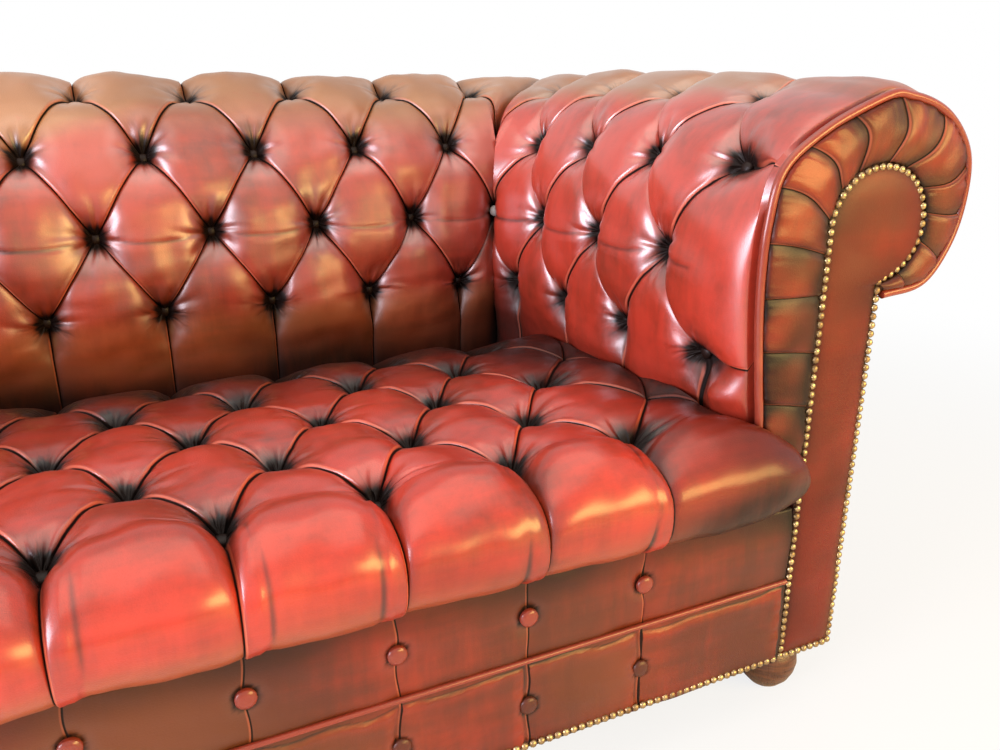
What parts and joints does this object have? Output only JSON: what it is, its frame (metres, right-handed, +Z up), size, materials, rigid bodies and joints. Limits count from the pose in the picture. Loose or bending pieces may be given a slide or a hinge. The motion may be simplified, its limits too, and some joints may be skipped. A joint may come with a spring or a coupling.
{
  "type": "deep-buttoned rolled-arm sofa",
  "caption": "Three-seat leather sofa with deep-buttoned seat, back and rolled arms of one height, scrolled arm fronts, buttoned front border and bun feet.",
  "frame": {"origin": "on the floor, under the middle of the overall box", "axes": "+Z up, +Y towards the back, +X along the length to the sitter's left"},
  "size_m": [2.023, 0.8943, 0.7581],
  "materials": {
    "red_leather": "hand-rubbed antique red, satin gloss",
    "rubbed_leather": "hand-rubbed antique red over brown, satin gloss",
    "beech": "sawn and planed beech",
    "foot_wood": "turned and stained, satin lacquer",
    "spring_steel": "bright drawn wire",
    "hessian": "woven jute",
    "black_cloth": "black bottoming cloth"
  },
  "bodies": {
    "root": {"front_rail": "beech", "back_rail": "beech", "side_rail_right": "beech", "side_rail_left": "beech", "seat_stretcher_right": "beech", "seat_stretcher_left": "beech", "arm_post_right": "beech", "arm_post_left": "beech", "arm_former_right": "beech", "arm_former_left": "beech", "arm_top_rail_right": "beech", "arm_top_rail_left": "beech", "back_top_rail": "beech", "back_former_middle": "beech", "back_former_right": "beech", "back_former_left": "beech", "front_foot_block_right": "beech", "front_foot_block_left": "beech", "rear_foot_block_right": "beech", "rear_foot_block_left": "beech", "front_foot_right": "foot_wood", "front_foot_left": "foot_wood", "rear_foot_right": "foot_wood", "rear_foot_left": "foot_wood", "front_foot_bolt_right": "spring_steel", "front_foot_bolt_left": "spring_steel", "rear_foot_bolt_right": "spring_steel", "rear_foot_bolt_left": "spring_steel", "seat_spring_1": "spring_steel", "seat_spring_2": "spring_steel", "seat_spring_3": "spring_steel", "seat_spring_4": "spring_steel", "seat_spring_5": "spring_steel", "seat_spring_6": "spring_steel", "seat_spring_7": "spring_steel", "seat_spring_8": "spring_steel", "seat_spring_9": "spring_steel", "seat_deck": "hessian", "front_edge_roll": "hessian", "seat_pad": "red_leather", "back_pad": "red_leather", "arm_pad_right": "red_leather", "arm_pad_left": "red_leather", "front_border": "rubbed_leather", "border_welt": "rubbed_leather", "scroll_facing_right": "rubbed_leather", "scroll_facing_left": "rubbed_leather", "gathered_border_right": "rubbed_leather", "gathered_border_left": "rubbed_leather", "arm_piping_right": "red_leather", "arm_piping_left": "red_leather", "outside_arm_right": "red_leather", "outside_arm_left": "red_leather", "outside_back": "red_leather", "dust_cover": "black_cloth"}
  },
  "joints": []
}
